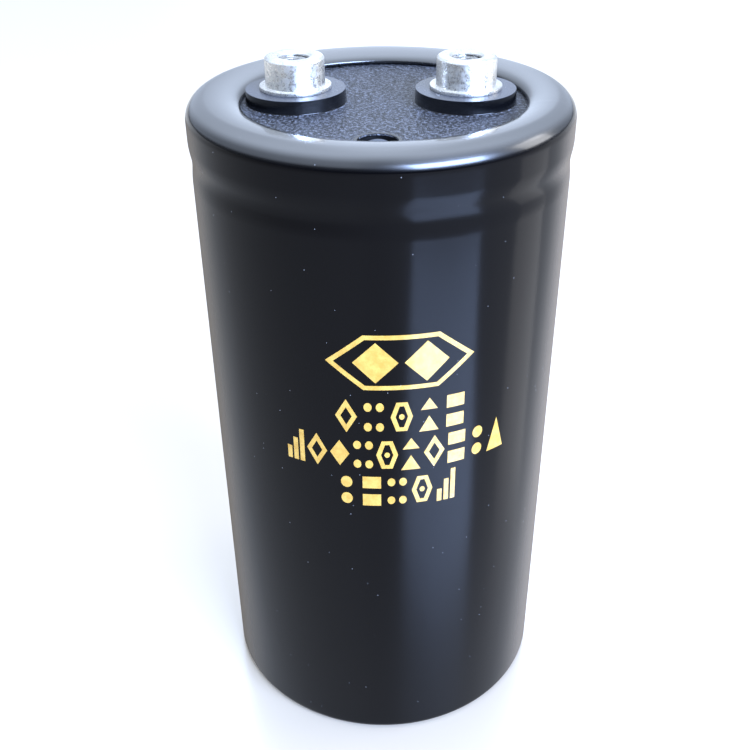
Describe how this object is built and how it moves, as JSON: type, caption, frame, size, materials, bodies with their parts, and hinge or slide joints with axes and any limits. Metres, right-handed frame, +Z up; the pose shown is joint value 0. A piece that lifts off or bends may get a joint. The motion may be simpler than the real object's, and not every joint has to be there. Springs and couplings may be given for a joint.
{
  "type": "electrolytic capacitor",
  "caption": "Large can-type electrolytic capacitor: black sleeved aluminium can, recessed moulded lid, raised threaded screw terminals and a rubber pressure vent.",
  "frame": {"origin": "centre of the base, on the surface that the case stands on", "axes": "+Z up the can's axis to the terminals, X through both terminals, the vent towards -Y"},
  "size_m": [0.0654, 0.0654, 0.1266],
  "materials": {
    "sleeve_pvc": "gloss",
    "insulating_disc": "satin",
    "can_aluminium": "satin",
    "lid_moulding": "textured matt",
    "gasket_rubber": "matt",
    "terminal_aluminium": "bright turned",
    "vent_rubber": "matt",
    "foil_and_paper": "matt",
    "closing_tape": "satin",
    "pressboard": "matt",
    "cast_compound": "satin",
    "strip_aluminium": "satin",
    "print_ink": "satin"
  },
  "bodies": {
    "root": {"sleeve": "sleeve_pvc", "base_disc": "insulating_disc", "can": "can_aluminium", "lid": "lid_moulding", "lid_gasket": "gasket_rubber", "terminal_left": "terminal_aluminium", "terminal_right": "terminal_aluminium", "clamp_washer_left": "can_aluminium", "clamp_washer_right": "can_aluminium", "vent_plug": "vent_rubber", "winding": "foil_and_paper", "winding_tape": "closing_tape", "base_pad": "pressboard", "anchor_compound": "cast_compound", "anode_strip_1": "strip_aluminium", "anode_strip_2": "strip_aluminium", "anode_strip_3": "strip_aluminium", "anode_strip_4": "strip_aluminium", "cathode_strip_1": "strip_aluminium", "cathode_strip_2": "strip_aluminium", "cathode_strip_3": "strip_aluminium", "cathode_strip_4": "strip_aluminium"}
  },
  "joints": []
}
